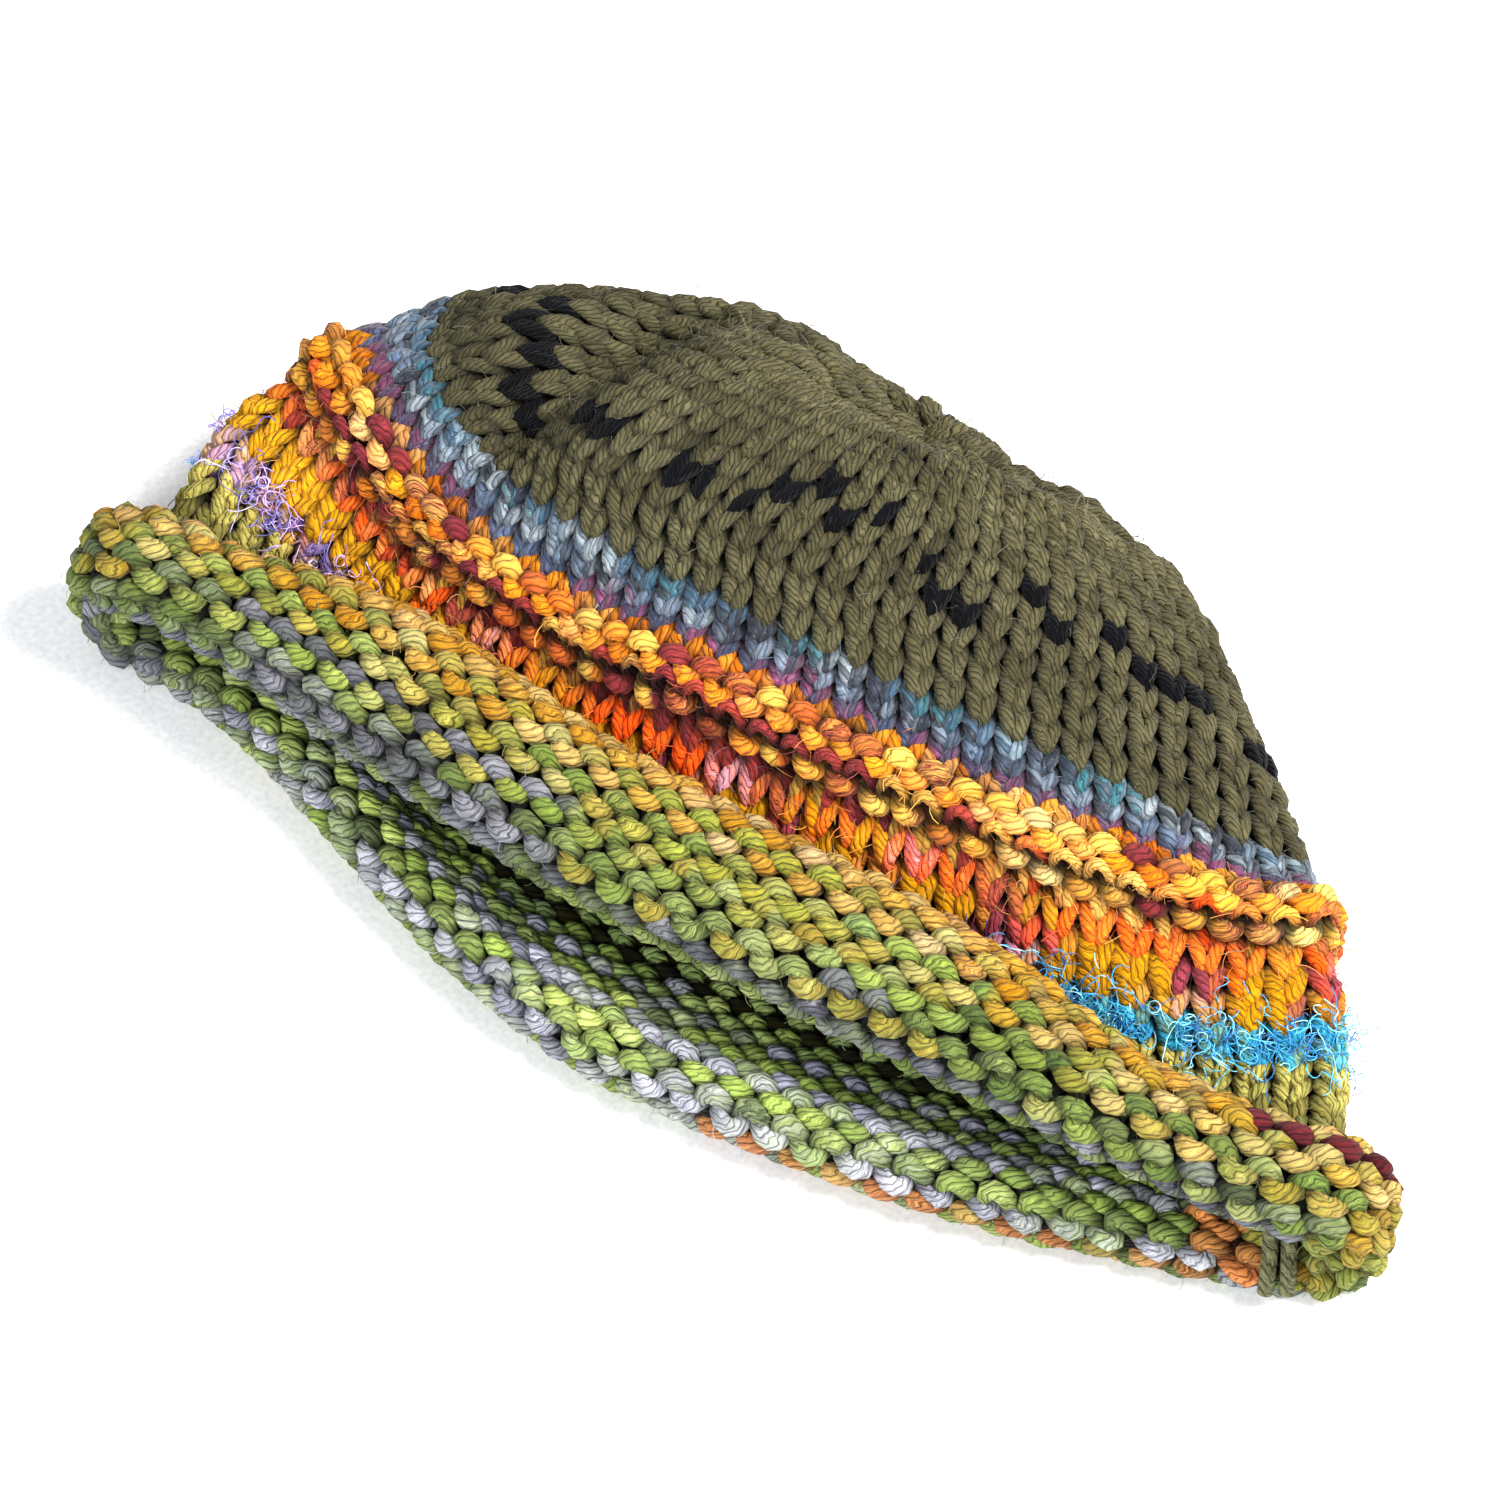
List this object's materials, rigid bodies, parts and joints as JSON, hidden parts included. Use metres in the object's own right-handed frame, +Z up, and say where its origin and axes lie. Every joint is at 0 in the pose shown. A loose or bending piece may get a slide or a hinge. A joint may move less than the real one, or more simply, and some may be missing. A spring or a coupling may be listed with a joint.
{
  "type": "knit hat",
  "caption": "Chunky hand-knit cap lying on its side, with a gathered crown, striped rounds, a purl ridge and an edge that rolls outwards.",
  "frame": {"origin": "middle of the base, on the surface that the cap lies on", "axes": "+Z up from that surface, +Y from the mouth to the gathered crown, +X to the right when looking into the mouth"},
  "size_m": [0.2762, 0.1333, 0.0687],
  "materials": {
    "brim_yarn": "matt plied wool, gold, green and grey stripes",
    "olive_yellow_yarn": "matt plied wool",
    "eyelash_yarn": "metallic blue and purple filament over olive wool",
    "band_yarn": "matt plied and fuzzy wool, gold, maroon and mustard",
    "welt_yarn": "matt plied wool, orange and maroon",
    "blue_yarn": "lustrous blue, teal and magenta yarn",
    "crown_yarn": "matt plied olive wool",
    "tail_yarn": "matt plied olive wool"
  },
  "bodies": {
    "root": {"brim": "brim_yarn", "olive_rows": "olive_yellow_yarn", "eyelash_stripe": "eyelash_yarn", "band": "band_yarn", "welt": "welt_yarn", "blue_stripe": "blue_yarn", "crown": "crown_yarn", "yarn_tail_1": "tail_yarn", "yarn_tail_2": "tail_yarn"}
  },
  "joints": []
}
